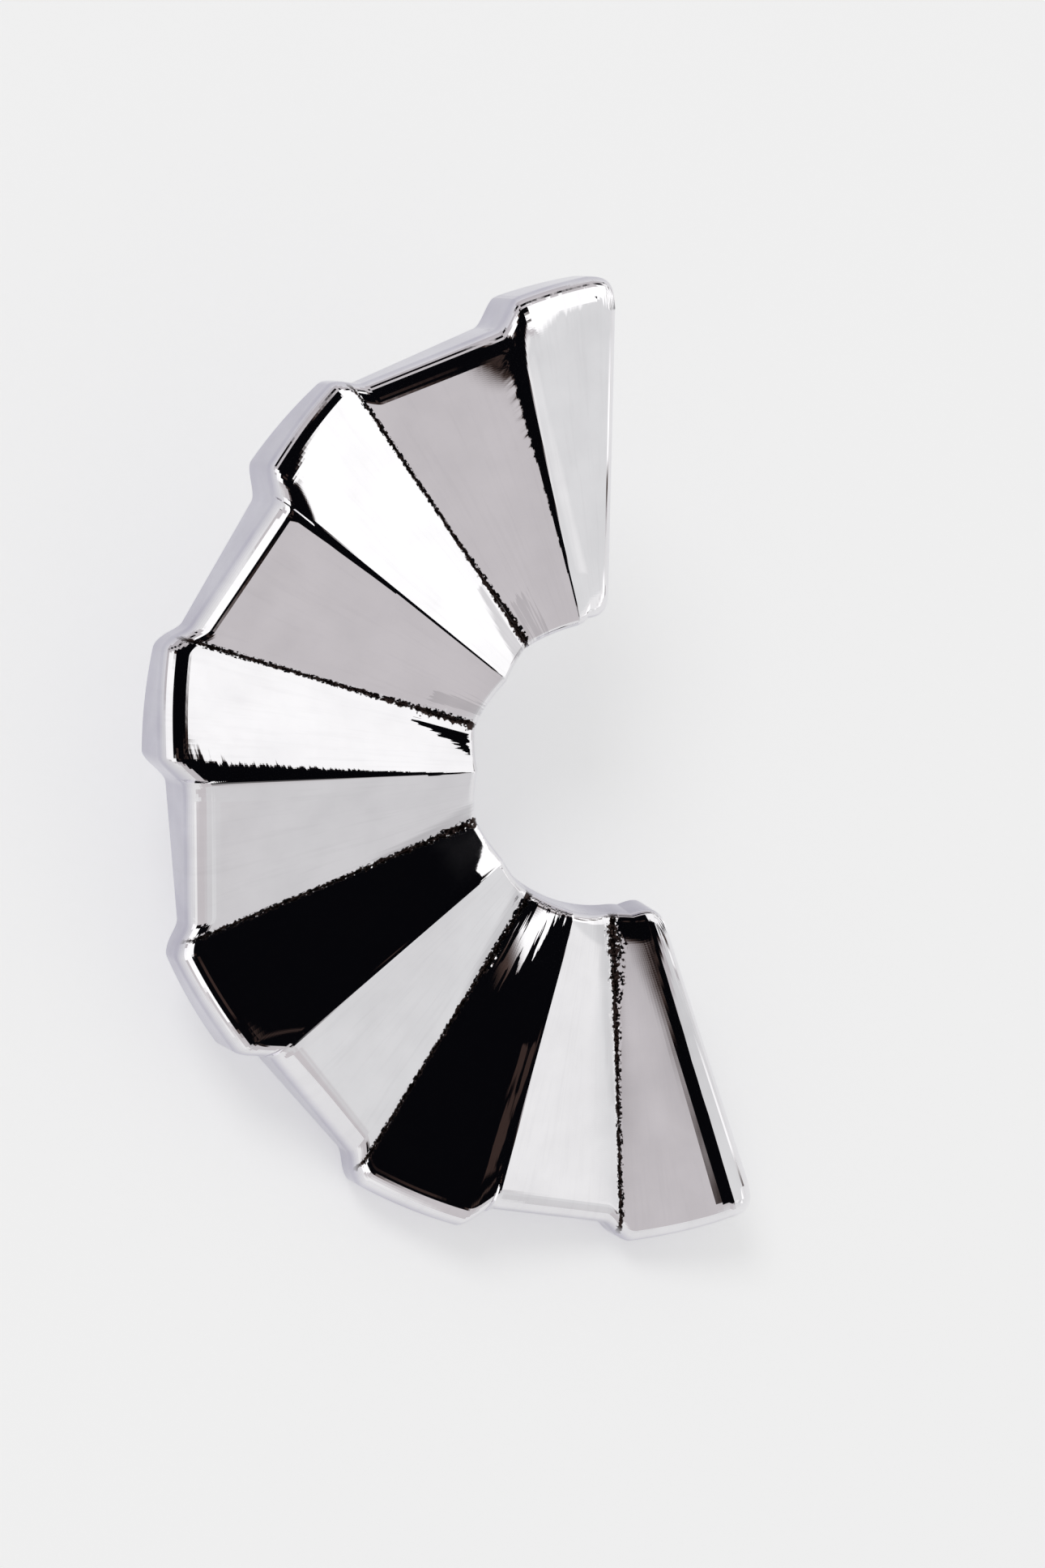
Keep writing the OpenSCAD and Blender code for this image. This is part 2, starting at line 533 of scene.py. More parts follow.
    def _column(self, turn: float) -> Column:
        """Makes a radial column, with what its nearest ridge and valley are like.

        Args:
            turn: Angle of its line from the first free edge.

        Returns:
            The column.
        """
        fold = min(int(turn / self.fold_angle), len(self.creases) - 1)
        valley = min(round(turn / self.fold_angle), len(self.residues) - 1)
        return Column(turn, 0.0, self.corner_reach, self.creases[fold], self.residues[valley])

    def _between(self, start: Column, end: Column) -> list[Column]:
        """Evenly spaced columns that swing from one to another, without those two."""
        shares = [i / self.end_columns for i in range(1, self.end_columns)]
        return [Column(*(a + (b - a) * share for a, b in zip(start, end))) for share in shares]

    def rows(self) -> list[Row]:
        """The blank's lines from one free edge to the other.

        Returns:
            The lines in order: up the bay's wall, over the face and down the rim's wall. The first and the
            last of them are on the back.
        """
        bay, rim = self.bay_rounding, self.rim_rounding
        steps = range(self.round_rows + 1)
        round_shares = [1.0 - math.cos(QUARTER_TURN * i / self.round_rows) for i in steps]
        wall_levels = (0.0, 0.3, 0.7)
        return (
            [Row(0.0, 0.0, rim, level) for level in wall_levels]
            + [Row(0.0, bay * share, rim, 1.0) for share in round_shares]
            + [Row(i / self.face_rows, bay, rim, 1.0) for i in range(1, self.face_rows)]
            + [Row(1.0, bay, rim * share, 1.0) for share in reversed(round_shares)]
            + [Row(1.0, bay, 0.0, level) for level in reversed(wall_levels)]
        )

    def blank(self) -> bpy.types.Object:
        """Makes the flat blank: a closed sleeve of quads whose points carry their column's and row's numbers.

        Returns:
            The blank, with an attribute for each number.
        """
        columns, rows = self.columns(), self.rows()
        wide = len(rows)
        points = [(x * MM, y * MM, 0.0) for x in range(len(columns)) for y in range(wide)]
        quads = [
            (x * wide + y, x * wide + (y + 1) % wide, (x + 1) * wide + (y + 1) % wide, (x + 1) * wide + y)
            for x in range(len(columns) - 1)
            for y in range(wide)
        ]
        first_end = tuple(range(wide - 1, -1, -1))
        last_end = tuple((len(columns) - 1) * wide + y for y in range(wide))
        mesh = bpy.data.meshes.new(self.name)
        mesh.from_pydata(points, [], [first_end, last_end, *quads])
        marks = {
            **{key: [getattr(column, key) for column in columns for _ in rows] for key in Column._fields},
            **{key: [getattr(row, key) for _ in columns for row in rows] for key in Row._fields},
        }
        for key, numbers in marks.items():
            mesh.attributes.new(key, "FLOAT", "POINT").data.foreach_set("value", numbers)
        blank = bpy.data.objects.new(self.name, mesh)
        bpy.context.scene.collection.objects.link(blank)
        return blank


class PressTree:
    """The node tree that presses a fan's blank into shape: where the rule of the pleats is written."""

    def __init__(self, sizes: Mapping[str, float]) -> None:
        """Builds the tree.

        Args:
            sizes: The plate's sizes by name, lengths in millimetres and angles in radians.
        """
        tree = bpy.data.node_groups.new("press_fan_plate", "GeometryNodeTree")
        self.graph = Graph(tree)
        self.sockets = {"blank": tree.interface.new_socket("Blank", socket_type="NodeSocketGeometry")}
        for key in sizes:
            label = key.replace("_", " ").capitalize()
            self.sockets[key] = tree.interface.new_socket(label, socket_type="NodeSocketFloat")
        for key, label in (("place", "Place"), ("lean", "Lean"), ("scale", "Scale")):
            self.sockets[key] = tree.interface.new_socket(label, socket_type="NodeSocketVector")
        self.sockets["finish"] = tree.interface.new_socket("Finish", socket_type="NodeSocketMaterial")
        tree.interface.new_socket("Plate", in_out="OUTPUT", socket_type="NodeSocketGeometry")
        self.entry = self.graph.node("NodeGroupInput")
        self.size = {key: self.graph.value(self.entry, self.sockets[key].name) for key in sizes}
        self._wire()

    def _mark(self, name: str) -> Value:
        """A number that the blank's points carry."""
        node = self.graph.node("GeometryNodeInputNamedAttribute", {"data_type": "FLOAT"}, {"Name": name})
        return self.graph.value(node, "Attribute")

    def _rim(self, fold: Value, turn: Value) -> Value:
        """The rim's radius: long and short blades in turn, eased over each step.

        Args:
            fold: Number of the fold that the line is in.
            turn: The line's angle from the first free edge.

        Returns:
            The radius.
        """
        size, half = self.size, self.size["step_half_angle"]
        into = turn - fold * size["fold_angle"]
        nears_valley = into > (size["long_angle"] + size["fold_angle"]) * 0.5
        past_valley = into - nears_valley * size["fold_angle"]
        is_last = turn > size["span_angle"] - size["long_angle"] * 0.5
        step = size["long_angle"] - size["step_lead_angle"]
        rise = past_valley.ease(-half, half).most(turn < half)
        fall = into.ease(step - half, step + half) * (1.0 - is_last) * (1.0 - nears_valley)
        long_rim = (
            size["fan_radius"]
            + size["long_grow"] * (fold + nears_valley)
            - size["long_fall"] * past_valley.most(0.0) / size["long_angle"]
        )
        from_ridge = (into < size["long_angle"] * 0.5).mix(into.most(size["long_angle"]), size["fold_angle"])
        lead = size["short_lead"] * size["fan_radius"]
        trail = size["short_trail"] * size["fan_radius"]
        chord_top = lead * trail * (size["fold_angle"] - size["long_angle"]).sin()
        to_lead = lead * (from_ridge - size["long_angle"]).sin()
        to_trail = trail * (size["fold_angle"] - from_ridge).sin()
        return (rise * (1.0 - fall)).mix(chord_top / (to_lead + to_trail), long_rim)

    def _inset(self, depth: Value, gap: Value) -> Value:
        """How far a line that keeps its depth inside the round-cornered outline lies from the bay or the rim.

        Args:
            depth: Its distance from the outline.
            gap: Distance from the nearest free edge.

        Returns:
            The inset.
        """
        corner, power = self.size["corner_reach"], self.size["corner_power"]
        side = (corner - gap).most(0.0)
        curved = corner - ((corner - depth) ** power - side ** power).most(0.0) ** (1.0 / power)
        return (depth < gap).mix(corner + depth - gap, curved)

    def _slope(self, low: Value, high: Value, width: Value, angle: Value) -> Value:
        """Height of the plane from one edge's height to the next's, a width apart, at an angle."""
        hub = self.size["hub_height"]
        return hub + ((low - hub) * (width - angle).sin() + (high - hub) * angle.sin()) / width.sin()

    def _face(
        self, radius: Value, into: Value, to_rim: Value, fold: Value, crease: Value, residue: Value
    ) -> Value:
        """Height of the pleated face above the back, with its ridges polished off and its valleys filled.

        Args:
            radius: Distance from the fan's centre.
            into: Angle from the fold's valley.
            to_rim: Distance from the rim.
            fold: Number of the fold that the point is in.
            crease: How wide the nearest ridge is polished off.
            residue: How much residue the nearest valley holds, 0 at a free edge.

        Returns:
            The height.
        """
        size = self.size
        # Each fold is two flat sides that meet in the ridge.
        out = (radius - size["bay_radius"]) / (size["fan_radius"] - size["bay_radius"])
        ridge = out.mix(size["ridge_bay_height"], size["ridge_rim_height"])
        valley = out.mix(size["valley_bay_height"], size["valley_rim_height"])
        short_angle = size["fold_angle"] - size["long_angle"]
        long_side = self._slope(valley, ridge, size["long_angle"], into)
        short_side = self._slope(ridge, valley, short_angle, into - size["long_angle"])
        steep = (ridge - valley) * (1.0 / size["long_angle"].sin() + 1.0 / short_angle.sin()) / radius * 0.5

        # Polishing takes the ridge off in a smooth curve, wider outwards, and most at the blade's corner.
        from_ridge = radius * (into - size["long_angle"]).size().sin()
        sharp = size["ridge_sharp_share"]
        flare = out.ramp(size["ridge_flare_from"], 1.0) ** 2.0 * size["ridge_flare"]
        wide = size["ridge_width"] * (out.ramp(sharp, 1.0).mix(sharp, crease) + flare)
        polished_off = (wide - from_ridge).most(0.0) ** 2.0 / wide * steep * 0.5
        ease = size["corner_ease"]
        at_corner = (1.0 - from_ridge / ease).most(0.0) * (1.0 - to_rim / ease).most(0.0)
        on_short = into > size["long_angle"]
        eased = 1.0 - on_short * (fold > 0.5)
        polished_off = polished_off + at_corner ** 2.0 * size["corner_ease_drop"] * eased

        # Metal left in the valley fills it in a like curve.
        from_valley = radius * (on_short.mix(into, size["fold_angle"] - into)).sin()
        wedge = size["wedge_width"] * (1.0 - out.ramp(0.0, size["wedge_reach"])) * on_short
        fill = (size["valley_width"] + wedge) * (residue > 0.0)
        filled = (fill - from_valley).most(0.0) ** 2.0 / fill.most(TINY) * steep * 0.5
        is_last = fold > size["folds"] - 1.5
        return is_last.mix(long_side.least(short_side) - polished_off, long_side) + filled

    def _grit(self, place: Value, radius: Value, into: Value, residue: Value) -> Value:
        """Height of the residue that casting left in the valleys, rougher towards the bay.

        Args:
            place: The point on the flat.
            radius: Distance from the fan's centre.
            into: Angle from the fold's valley.
            residue: How much residue the nearest valley holds.

        Returns:
            The height.
        """
        size = self.size
        from_valley = radius * into.least(size["fold_angle"] - into).sin()
        inner = 1.0 - radius.ramp(size["bay_radius"], size["fan_radius"] * size["grit_reach"])
        patchy = self.graph.patches(place, size["patch_scale"], 2.0, size["seed"] + Pressed.PATCHES)
        width = size["grit_width"] * (1.0 + residue * (1.0 + inner * 2.0) * patchy)
        lumps = self.graph.noise(place, size["grit_scale"], 2.0, size["seed"] + Pressed.LUMPS)
        high = (lumps - size["grit_floor"]) * residue * size["grit_height"]
        return (1.0 - from_valley / width).most(0.0) * high

    def _polish(self, place: Value) -> Value:
        """Height of the waves and ripples that polishing by hand leaves.

        Args:
            place: The point on the flat.

        Returns:
            The height, below 0 in a hollow.
        """
        size = self.size
        wave = self.graph.swing(place, size["polish_wave_scale"], 1.0, size["seed"] + Pressed.WAVES)
        ripple = self.graph.swing(place, size["polish_ripple_scale"], 1.0, size["seed"] + Pressed.RIPPLES)
        return wave * size["polish_wave"] + ripple * size["polish_ripple"]

    def _shoulder(self, name: str, depth: Value) -> Value:
        """How far the polished shoulder along an edge has fallen at a distance from that edge."""
        near = (1.0 - depth / self.size[name + "_shoulder"]).most(0.0)
        return near * near * self.size[name + "_shoulder_drop"]

    def _fallen(self, reach: Value, gap: Value, to_bay: Value, to_rim: Value) -> Value:
        """How far the rounding of the outline has fallen from the face.

        Args:
            reach: 0 at the bay, 1 at the rim.
            gap: Distance from the nearest free edge, held to the corners' reach.
            to_bay: Distance from the bay.
            to_rim: Distance from the rim.

        Returns:
            The fall.
        """
        size, corner, power = self.size, self.size["corner_reach"], self.size["corner_power"]
        beside, before = (corner - gap).most(0.0), (corner - to_bay.least(to_rim)).most(0.0)
        depth = corner - (beside ** power + before ** power) ** (1.0 / power)
        outer = reach.ease(0.0, size["rim_rounding_from"]).mix(size["bay_rounding"], size["rim_rounding"])
        rounding = ((before + TINY) / (beside + before + TINY)).mix(size["end_rounding"], outer)
        return rounding - (rounding ** 2.0 - (rounding - depth.least(rounding)) ** 2.0).root()

    def _shoulders(self, radius: Value, angle: Value, to_bay: Value) -> Value:
        """How far the polished shoulders along the bay and the two free edges have fallen.

        Args:
            radius: Distance from the fan's centre.
            angle: Angle from the first free edge.
            to_bay: Distance from the bay.

        Returns:
            The fall.
        """
        from_first = radius * angle.least(QUARTER_TURN).sin()
        from_last = radius * (self.size["span_angle"] - angle).least(QUARTER_TURN).sin()
        fallen = self._shoulder("bay", to_bay) + self._shoulder("end", from_first)
        return fallen + self._shoulder("last", from_last)

    def _wire(self) -> None:
        """Adds the nodes that work out the place of every point of the blank."""
        graph, size = self.graph, self.size
        turn, shift, gap, crease, residue = (self._mark(name) for name in Column._fields)
        reach, bay_in, rim_in, level = (self._mark(name) for name in Row._fields)
        turn = turn * math.radians(1.0)
        fold = (turn / size["fold_angle"]).math("FLOOR").least(size["folds"] - 1.0)
        rim = self._rim(fold, turn)
        bay = size["bay_radius"] + size["bay_flare"] * level
        along = reach.mix(bay + self._inset(bay_in, gap), rim - self._inset(rim_in, gap))
        radius = (along * along + shift * shift).root()
        angle = turn + shift.math("ARCTAN2", along)
        into = angle - fold * size["fold_angle"]
        x = -(along * turn.sin()) - shift * turn.cos()
        y = along * turn.cos() - shift * turn.sin()

        to_bay, to_rim = along - bay, rim - along
        flat = graph.vector(x, y, 0.0)
        pressed = self._face(radius, into, to_rim, fold, crease, residue)
        pressed = pressed - self._fallen(reach, gap, to_bay, to_rim) - self._shoulders(radius, angle, to_bay)
        height = (pressed + self._grit(flat, radius, into, residue) + self._polish(flat)) * level
        self._press(graph.vector(x, y, height), to_rim)

    def _press(self, position: Value, to_rim: Value) -> None:
        """Adds the nodes that move the blank's points, then shade, lay down and dress the plate.

        Args:
            position: Where each point goes, in the fan's frame.
            to_rim: Its distance from the rim, which the finish reads.
        """
        graph, size = self.graph, self.size
        marked = graph.node(
            "GeometryNodeStoreNamedAttribute",
            {"data_type": "FLOAT", "domain": "POINT"},
            {"Geometry": graph.value(self.entry, "Blank"), "Name": "to_rim", "Value": to_rim},
        )
        placed = graph.node(
            "GeometryNodeSetPosition", None, {"Geometry": marked.outputs[0], "Position": position}
        )
        edges = graph.value(graph.node("GeometryNodeInputMeshEdgeAngle"))
        smooth = graph.node(
            "GeometryNodeSetShadeSmooth",
            {"domain": "EDGE"},
            {"Geometry": placed.outputs[0], "Selection": edges > size["sharp_angle"], "Shade Smooth": False},
        )
        laid = graph.node(
            "GeometryNodeTransform",
            None,
            {
                "Geometry": smooth.outputs[0],
                "Translation": graph.value(self.entry, "Place"),
                "Rotation": graph.value(self.entry, "Lean"),
                "Scale": graph.value(self.entry, "Scale"),
            },
        )
        whole = graph.node("GeometryNodeRealizeInstances", None, {"Geometry": laid.outputs[0]})
        dressed = graph.node(
            "GeometryNodeSetMaterial",
            None,
            {"Geometry": whole.outputs[0], "Material": graph.value(self.entry, "Finish")},
        )
        graph.node("NodeGroupOutput", None, {0: dressed.outputs[0]})


class FanPoint(NamedTuple):
    """Where a shaded point of the plate is, in millimetres and radians.

    Attributes:
        x: Its x in the fan's frame.
        y: Its y there.
        place: It, as a vector.
        radius: Its distance from the centre.
        turn: Its angle from the first free edge.
        valley: Its distance from the nearest valley.
        ridge: Its distance from the nearest ridge, greater than 0 on a short blade.
        crease: How wide the nearest ridge is polished off.
        residue: How much residue the nearest valley holds.
        rim: Its distance from the rim.
        faces: 1 on the face of the plate, 0 on its walls and its back.
    """

    x: Value
    y: Value
    place: Value
    radius: Value
    turn: Value
    valley: Value
    ridge: Value
    crease: Value
    residue: Value
    rim: Value
    faces: Value


@dataclass(frozen=True, kw_only=True)
class Touch:
    """What casting or hand polishing did to the metal at one spot, with shade or light painted into its
    colour there.

    Attributes:
        outward: How far it leans the metal away from the centre, as a slope.
        onward: How far it leans it towards the next blade.
        shade: How much painted shade darkens its base colour, standing in for a darker reflection there;
            below 0 it is painted light.
        haze: How much duller it is.
        soft: Half the width of its soft edge, in millimetres.
        ragged: How far the brush draws that edge out.
    """

    outward: float = 0.0
    onward: float = 0.0
    shade: float = 0.0
    haze: float = 0.0
    soft: float = 0.05
    ragged: float = 0.0

    def edged(self, inside: Value, strokes: Value) -> Value:
        """From 0 outside the spot to 1 inside it, over its soft and ragged edge."""
        return (inside + strokes * self.ragged).ease(-self.soft, self.soft)


@dataclass(frozen=True)
class Stretch(Touch):
    """A stretch along the rim, from one radial line to another, that was polished in its own way.

    Attributes:
        start: Angle of its first line, in degrees.
        end: Angle of its last line.
        depth: How far it reaches in from the rim, in millimetres. The default is past the bay.
        side_soft: Half the width of its edge along those lines.
    """

    start: float
    end: float
    depth: float = 30.0
    side_soft: float = 0.03

    def share(self, point: FanPoint, strokes: Value) -> Value:
        """How much of the stretch a point has.

        Args:
            point: The point.
            strokes: The brush's strokes, from -0.5 to 0.5.

        Returns:
            0 outside the stretch, 1 inside it.
        """
        start, end = math.radians(self.start), math.radians(self.end)
        beside = (point.turn - start).least(end - point.turn) * point.radius
        deep = self.edged(self.depth - point.rim, strokes)
        return beside.ease(-self.side_soft, self.side_soft) * deep * point.faces


@dataclass(frozen=True)
class Mark(Touch):
    """A mark on a blade, longer than it is wide, along a radial line.

    Lengths are in millimetres.

    Attributes:
        turn: Angle of the line from the first free edge, in degrees.
        start: Distance from the centre at which it starts.
        end: Distance at which it ends.
        low: Its edge on the side of the first free edge, across the line.
        high: Its other edge.
        taper: How much the edge away from the line draws in for each millimetre along.
    """

    turn: float
    start: float
    end: float
    low: float
    high: float
    taper: float = 0.0

    def share(self, point: FanPoint, strokes: Value) -> Value:
        """How much of the mark a point has.

        Args:
            point: The point.
            strokes: The brush's strokes, from -0.5 to 0.5.

        Returns:
            0 outside the mark, 1 inside it.
        """
        near = (point.turn - math.radians(self.turn)).most(-NEAR_TURN).least(NEAR_TURN)
        across = point.radius * near.sin()
        drawn_in = (point.radius - self.start) * self.taper
        is_low = abs(self.low) > abs(self.high)
        low_edge, high_edge = (drawn_in + self.low, self.high) if is_low else (self.low, self.high - drawn_in)
        inside = (across - low_edge).least(high_edge - across)
        inside = inside.least((point.radius - self.start).least(self.end - point.radius))
        return self.edged(inside, strokes) * point.faces


PLATE = FanPlate()
VALLEYS = tuple(fold * PLATE.fold_angle for fold in range(PLATE.folds))
RIDGES = tuple(valley + PLATE.long_angle for valley in VALLEYS)
# A mark's shade is painted shade: a darker base colour where the blade should mirror a darker tone. The
# negative shades on long blade 6 are painted light.
POLISH_MARKS = (
    # Long blade 1, from the first free edge
    Stretch(VALLEYS[0], RIDGES[0], depth=1.2, outward=0.05, soft=0.4, ragged=0.9),
    Mark(RIDGES[0], 8.0, 20.5, -1.05, -0.05, outward=-0.065, soft=0.4),
    # Short blade 1
    Mark(VALLEYS[1], 6.2, 8.2, -0.95, -0.3, shade=0.3, soft=0.06, ragged=1.6),
    # Long blade 2
    Mark(VALLEYS[1], 6.3, 9.6, 0.2, 0.95, shade=0.65, soft=0.1, ragged=0.5, taper=0.15),
    Stretch(VALLEYS[1] + 0.4, RIDGES[1] - 0.5, depth=1.0, outward=-0.18, soft=0.3),
    # Short blade 2
    Mark(RIDGES[1], 12.5, 19.3, 0.0, 0.1, outward=0.06, onward=-0.11, soft=0.04, ragged=0.1, taper=-0.04),
    Mark(RIDGES[1], 17.3, 19.3, 0.0, 0.1, outward=0.06, onward=-0.11, soft=0.1, taper=-0.5),
    Stretch(RIDGES[1] + 0.2, VALLEYS[2], depth=0.6, outward=0.45),
    Mark(VALLEYS[2], 6.3, 8.6, -0.95, -0.35, shade=0.35, soft=0.06, ragged=1.6),
    # Long blade 3
    Stretch(VALLEYS[2], RIDGES[2], outward=-0.04, shade=0.16),
    Mark(VALLEYS[2], 6.55, 9.1, 0.4, 1.12, outward=0.3, soft=0.05, ragged=0.9, taper=0.27),
    # Short blade 3
    Mark(RIDGES[2], 8.5, 20.5, 0.02, 0.8, onward=0.2, soft=0.03),
    Stretch(RIDGES[2] + 0.6, VALLEYS[3] - 1.1, depth=1.1, outward=-0.25, onward=0.16, soft=0.25),
    Mark(VALLEYS[3], 6.4, 11.0, -0.8, -0.05, shade=0.4, soft=0.2, ragged=0.4, taper=0.14),
    # Long blade 4
    Mark(VALLEYS[3] + 2.4, 6.2, 8.2, -0.2, 1.3, haze=0.12, soft=0.7, ragged=0.6),
    Mark(RIDGES[3], 5.0, 7.5, -1.5, 0.0, outward=-0.32, soft=0.3, ragged=0.12, taper=0.4),
    # Short blade 4
    Stretch(RIDGES[3] + 1.4, VALLEYS[4] - 1.8, depth=0.95, outward=0.45, soft=0.3),
    Mark(VALLEYS[4], 6.4, 11.5, -0.8, -0.05, shade=0.35, soft=0.2, ragged=0.4, taper=0.12),
    # Long blade 5
    Mark(VALLEYS[4], 6.3, 10.8, 0.35, 1.5, onward=-0.33, soft=0.04, ragged=2.2, taper=0.22),
    Mark(RIDGES[4], 12.0, 19.6, -0.62, -0.3, outward=0.06, soft=0.25, ragged=1.5),
    # Short blade 5
    Stretch(RIDGES[4], VALLEYS[5], onward=0.05),
    Mark(VALLEYS[5], 6.4, 14.0, -0.95, -0.1, shade=0.25, soft=0.25, ragged=0.5, taper=0.08),
    # Long blade 6, to the last free edge
    Stretch(VALLEYS[5], RIDGES[5] + 0.1, outward=0.1, shade=0.22),
    Stretch(VALLEYS[5], RIDGES[5] + 0.1, depth=4.5, shade=-0.2, soft=2.5, ragged=0.8),
    Mark(RIDGES[5], 9.0, 15.5, -3.2, -1.9, shade=-0.2, soft=0.8, ragged=0.8),
    Mark(RIDGES[5], 5.5, 21.0, -0.5, 0.45, onward=0.35, soft=0.05, ragged=0.1, taper=-0.02),
)


@dataclass(frozen=True)
class MirrorMetal:
    """Mirror-polished white metal with buffing marks, clouds, dark residue in the valleys of the fan, a
    painted reflection on its walls, and painted shade from its marks.

    Lengths are in millimetres. A scale is how many waves of a noise fit in one of them. A lean is a slope.

    Attributes:
        face_slopes: The normal's share along the fan's own, where the wall ends and where the face begins.
        cloud_shade: How much a cloud darkens the metal, where its noise is above cloud_from.
        cloud_haze: How much it dulls the metal, where its noise is above haze_from.
        stroke_scales: How long and how fine the brush's strokes are, along and round the fan.
        stroke_evenness: How much of the brush shows outside the clouds.
        hair_scales: Scales of the fringe's hair lines: along, slanting and across.
        fringe_spread: How far past the polished ridge the fringe goes, as a share of ridge_width.
        fringe_middle: Where the fringe is strongest, as a share of its reach from the ridge.
        fringe_crease: How wide a ridge has to be polished off to have a fringe.
        rim_hair_share: How much of the hair lines of the first blade's rim the others have.
        residue_reach: Radius up to which the residue gets wider, as a share of the fan's.
        line_width: Width of the thin line in every valley, as a share of residue_width, with its line_swell.
        patch_width: Width of the patches along it, with their patch_swell towards the bay.
        lump_contrast: How much the lumps break the line up, less lump_gap.
        bead_reach: How far the beads beside the residue go, as a share of its width.
    """

    plate: FanPlate
    marks: tuple[Mark | Stretch, ...] = POLISH_MARKS
    name: str = "mirror_polished_metal"
    seed: float = 3.0
    colour: tuple[float, float, float] = (0.86, 0.85, 0.87)
    roughness: float = 0.025
    # Painted reflection: a darker lavender base colour on the walls, in patches, for the tone that they
    # mirror.
    wall_reflection_colours: tuple[tuple[float, float, float], ...] = ((0.5, 0.485, 0.57), (0.6, 0.59, 0.66))
    wall_reflection_scale: float = 0.35
    wall_roughness: float = 0.12
    face_slopes: tuple[float, float] = (0.25, 0.7)
    shade_colour: tuple[float, float, float] = (0.42, 0.41, 0.43)
    cloud_scale: float = 0.5
    cloud_from: float = 0.35
    cloud_shade: float = 0.35
    haze_from: float = 0.4
    cloud_haze: float = 0.05
    wave_scale: float = 0.22
    wave_lean: float = 0.02
    stroke_scales: tuple[float, float] = (0.35, 75.0)
    stroke_shade: float = 0.25
    stroke_evenness: float = 0.4
    brush_lean: float = 0.006
    hair_scales: tuple[float, float, float] = (4.0, 2.2, 0.9)
    fringe_lean: float = 0.3
    fringe_spread: float = 0.15
    fringe_middle: float = 0.8
    fringe_strength: float = 1.1
    fringe_fade: float = 1.4
    fringe_crease: float = 0.5
    rim_hair_scales: tuple[float, float] = (5.0, 0.9)
    rim_hair_reach: float = 1.5
    rim_hair_share: float = 0.3
    rim_brush_lean: float = 0.07
    residue_colour: tuple[float, float, float] = (0.03, 0.02, 0.018)
    residue_roughness: float = 0.3
    residue_width: float = 0.075
    residue_reach: float = 0.65
    residue_edge: float = 0.02
    line_width: float = 0.72
    line_swell: float = 0.2
    patch_width: float = 0.4
    patch_swell: float = 3.0
    lump_scale: float = 5.5
    lump_contrast: float = 3.4
    lump_gap: float = 0.8
    bead_scale: float = 7.0
    bead_lean: float = 1.6
    bead_reach: float = 2.2

    def _point(self, graph: Graph, laid: LaidDown) -> FanPoint:
        """Works out where a point is among the blades.

        Args:
            graph: The finish's tree.
            laid: The fan's frame.

        Returns:
            The point.
        """
        plate = self.plate
        x, y, z = laid.unlaid(graph)
        fold_angle, long_angle = math.radians(plate.fold_angle), math.radians(plate.long_angle)
        radius = (x * x + y * y).root()
        slack = 0.5
        turn = ((-x).math("ARCTAN2", y) + slack).math("FLOORED_MODULO", 2 * math.pi) - slack
        into = turn - (turn / fold_angle).math("FLOOR").least(plate.folds - 1.0) * fold_angle
        valley = radius * into.least(fold_angle - into).sin().size()
        ridge = radius * (into - long_angle).sin()
        crease, residue, rim = (
            graph.value(graph.node("ShaderNodeAttribute", {"attribute_name": name}), "Fac")
            for name in ("crease", "residue", "to_rim")
        )
        axis = (laid.lay.to_3x3() @ Vector((0.0, 0.0, 1.0))).normalized()
        normal = graph.node("ShaderNodeNewGeometry").outputs["Normal"]
        faces = graph.vector_math("DOT_PRODUCT", normal, axis, output="Value").ramp(*self.face_slopes)
        place = graph.vector(x, y, z)
        return FanPoint(x, y, place, radius, turn, valley, ridge, crease, residue, rim, faces)

    def _residue(self, graph: Graph, point: FanPoint) -> tuple[Value, Value]:
        """Works out the dark residue in the valleys, in beads and dashes, wider towards the bay.

        Args:
            graph: The finish's tree.
            point: The shaded point.

        Returns:
            How much residue there is, and how rough the metal round it is.
        """
        plate = self.plate
        inner = 1.0 - point.radius.ramp(plate.bay_radius, plate.fan_radius * self.residue_reach)
        patchy = graph.patches(point.place, plate.patch_scale, 2.0, plate.seed + Pressed.PATCHES)
        lumps = graph.noise(point.place, self.lump_scale, 2.0, self.seed + Polished.LUMPS)
        line = self.line_width + inner * self.line_swell
        patch = point.residue * (self.patch_width + inner * self.patch_swell * patchy)
        width = self.residue_width * (line + patch)
        held = point.faces * (point.residue > 0.0)
        into = width * (lumps * self.lump_contrast - self.lump_gap) - point.valley
        caught = into.ramp(-self.residue_edge, self.residue_edge) * held
        rough = (1.0 - point.valley / (width * self.bead_reach)).most(0.0) * held
        return caught, rough

    def _fringe(self, graph: Graph, point: FanPoint) -> Value:
        """Works out the lean of the hair lines that polishing left along the wider ridges.

        Args:
            graph: The finish's tree.
            point: The shaded point.

        Returns:
            The lean towards the next blade.
        """
        plate = self.plate
        out = (point.radius - plate.bay_radius) / (plate.fan_radius - plate.bay_radius)
        sharp = plate.ridge_sharp_share
        wide = plate.ridge_width * (out.ramp(sharp, 1.0).mix(sharp, point.crease) + self.fringe_spread)
        side = 1.0 - (point.turn > math.radians(plate.fold_angle)) * 2.0
        off_middle = (point.ridge * side / wide - self.fringe_middle).size()
        band = (self.fringe_strength - off_middle * self.fringe_fade).most(0.0).least(1.0)
        along, slant, across = self.hair_scales
        arc = point.turn * point.radius
        slanted = graph.vector(point.radius * along + arc * slant, arc * across, 0.0)
        hair = graph.swing(slanted, 1.0, 3.0, self.seed + Polished.HAIRS)
        return hair * (band * (point.crease > self.fringe_crease)) * self.fringe_lean

